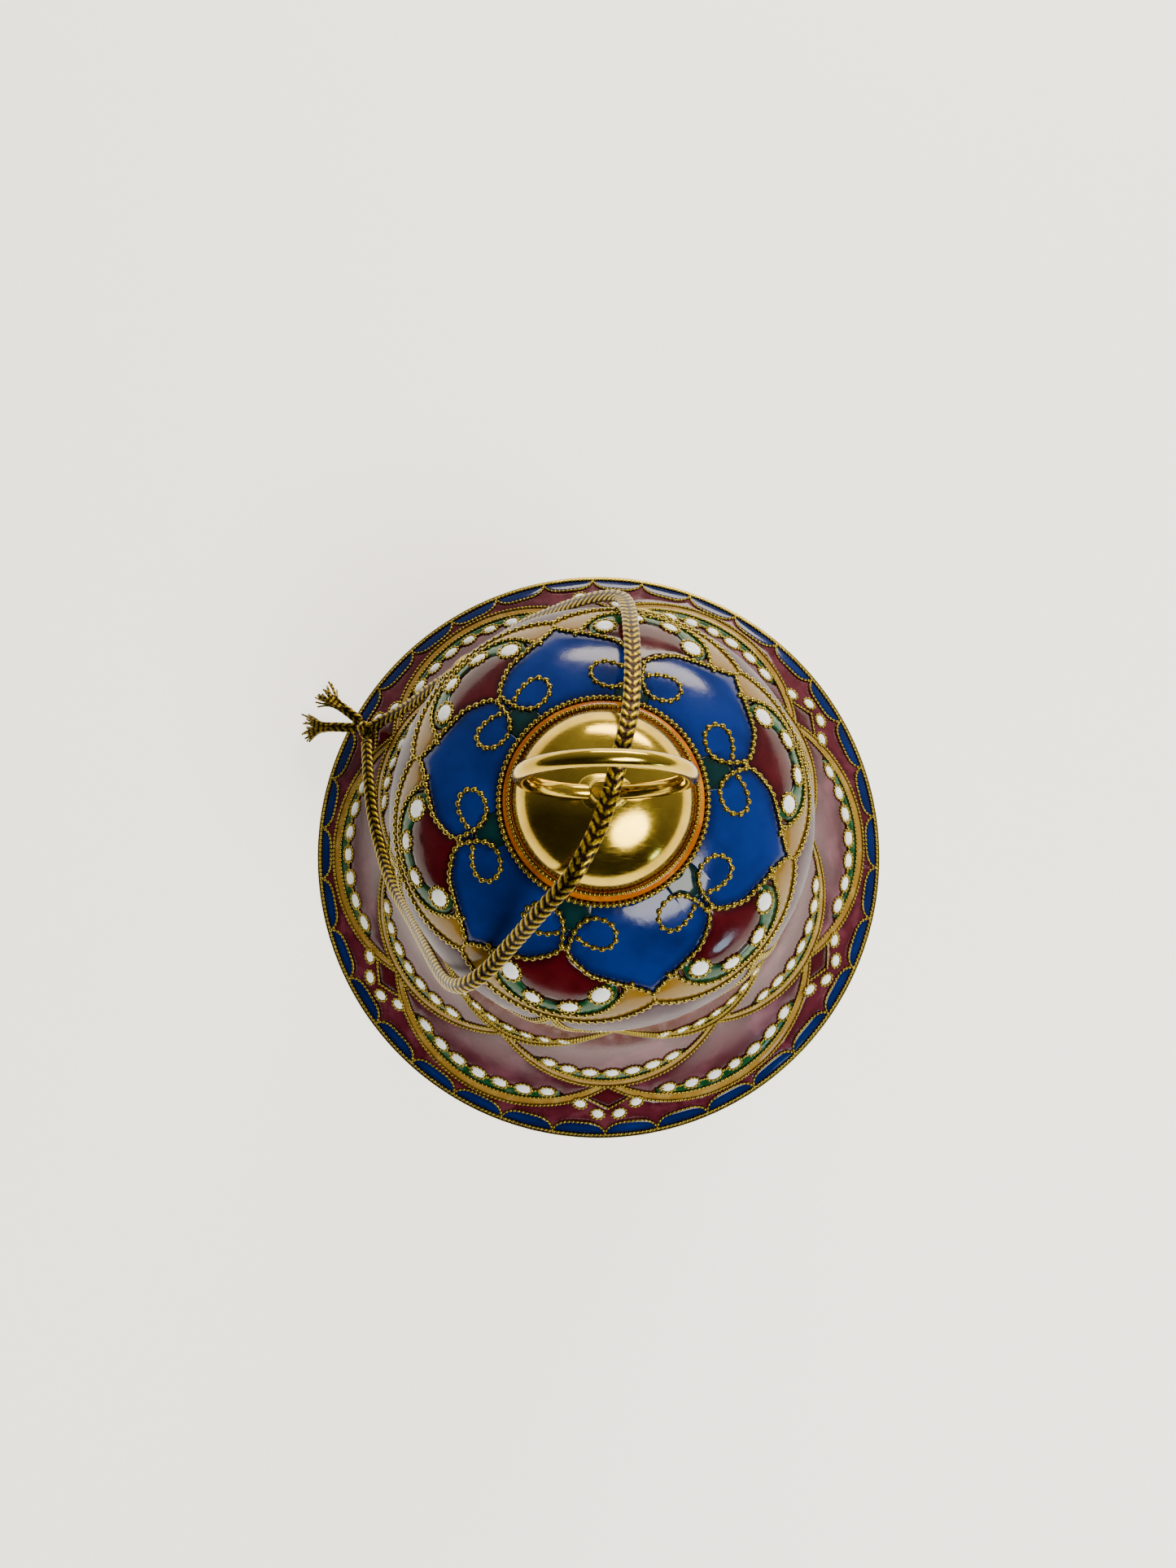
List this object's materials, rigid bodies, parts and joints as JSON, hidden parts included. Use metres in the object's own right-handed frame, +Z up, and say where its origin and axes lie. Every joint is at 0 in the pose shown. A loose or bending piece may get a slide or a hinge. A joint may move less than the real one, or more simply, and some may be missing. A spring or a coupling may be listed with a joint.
{
  "type": "hanging bell ornament",
  "caption": "Enamelled hanging bell ornament with scale pattern in gilt wire, brass cap and ring, hung clapper and braided cord loop.",
  "frame": {"origin": "centre of the bell's rim, on the plane that the rim stands on", "axes": "+Z up the bell's axis to the hanging ring, +X along the plane of the hanging ring"},
  "size_m": [0.0657, 0.064, 0.0602],
  "materials": {
    "copper": "satin",
    "blue_enamel": "gloss",
    "red_enamel": "gloss",
    "lilac_enamel": "gloss",
    "rose_enamel": "gloss",
    "maroon_enamel": "gloss",
    "amber_enamel": "gloss",
    "white_enamel": "gloss",
    "gilt_wire": "satin",
    "gilt_brass": "satin",
    "polished_brass": "polished",
    "gold_cord": "metallic braid"
  },
  "bodies": {
    "bell": {"bell_shell": "copper", "counter_enamel": "blue_enamel", "rim_band": "gilt_brass", "enamel_petals": "blue_enamel", "enamel_crown_scales": "red_enamel", "enamel_upper_scales": "lilac_enamel", "enamel_waist_scales": "lilac_enamel", "enamel_lower_scales": "rose_enamel", "enamel_flare_scales": "rose_enamel", "enamel_skirt_scales": "rose_enamel", "enamel_rim": "maroon_enamel", "wire_petals": "gilt_wire", "wire_scrolls": "gilt_wire", "wire_crown_scales": "gilt_wire", "wire_upper_scales": "gilt_wire", "wire_waist_scales": "gilt_wire", "wire_lower_scales": "gilt_wire", "wire_flare_scales": "gilt_wire", "wire_skirt_scales": "gilt_wire", "wire_rim_tongues": "gilt_wire", "pearls_crown": "white_enamel", "pearls_upper": "white_enamel", "pearls_waist": "white_enamel", "pearls_lower": "white_enamel", "pearls_flare": "white_enamel", "pearls_skirt": "white_enamel", "pearls_marks": "white_enamel", "collar_ring": "gilt_brass", "collar_enamel": "amber_enamel", "wire_collar_lower": "gilt_wire", "wire_collar_upper": "gilt_wire", "cap_dome": "polished_brass", "ring_solder": "polished_brass", "hanging_ring": "polished_brass", "centre_stud": "polished_brass", "inner_washer": "polished_brass", "inner_nut": "polished_brass", "cord_strand_back": "gold_cord", "cord_strand_front": "gold_cord", "cord_knot": "gold_cord", "cord_tail_long": "gold_cord", "cord_tail_short": "gold_cord"},
    "link": {"clapper_link": "polished_brass"},
    "clapper": {"clapper_stem": "polished_brass", "clapper_ball": "polished_brass"}
  },
  "joints": [
    {"name": "link_swing", "type": "hinge", "parent": "bell", "child": "link", "pos_m": [0, 0, 0.035], "axis": [1, 0, 0], "range_deg": [-24, 24]},
    {"name": "clapper_swing", "type": "hinge", "parent": "link", "child": "clapper", "pos_m": [0, 0, 0.03235], "axis": [0, 1, 0], "range_deg": [-26, 26]}
  ]
}
